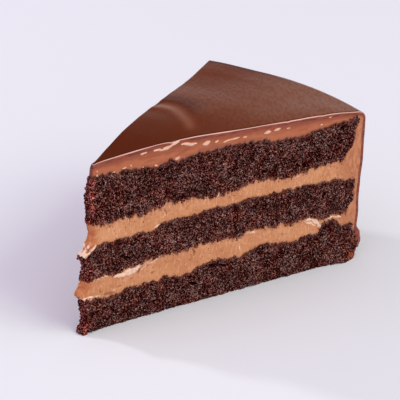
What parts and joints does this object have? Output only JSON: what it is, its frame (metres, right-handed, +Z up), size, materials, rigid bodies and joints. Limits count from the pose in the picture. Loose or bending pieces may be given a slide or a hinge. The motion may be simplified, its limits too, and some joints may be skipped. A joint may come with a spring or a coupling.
{
  "type": "slice of chocolate cake",
  "caption": "Wedge-shaped slice of layered chocolate cake with buttercream fillings, milk-chocolate icing over the top and rim, and a glossy chocolate glaze.",
  "frame": {"origin": "on the surface that the slice stands on, under the middle of its bounding box", "axes": "+X from the pointed tip to the rim, +Z up, +Y to the slice's left when looking from tip to rim; the cut faces look along -Y and +Y, each turned 18 degrees towards the tip"},
  "size_m": [0.1203, 0.0716, 0.0642],
  "materials": {
    "chocolate_sponge": "dark chocolate sponge cake, open moist crumb, matte",
    "buttercream": "light chocolate buttercream, cut smooth, satin",
    "milk_icing": "milk-chocolate icing, smeared by the knife, satin",
    "chocolate_glaze": "poured chocolate glaze, glossy"
  },
  "bodies": {
    "root": {"sponge_bottom": "chocolate_sponge", "filling_lower": "buttercream", "sponge_middle": "chocolate_sponge", "filling_upper": "buttercream", "sponge_top": "chocolate_sponge", "icing": "milk_icing", "glaze": "chocolate_glaze"}
  },
  "joints": []
}
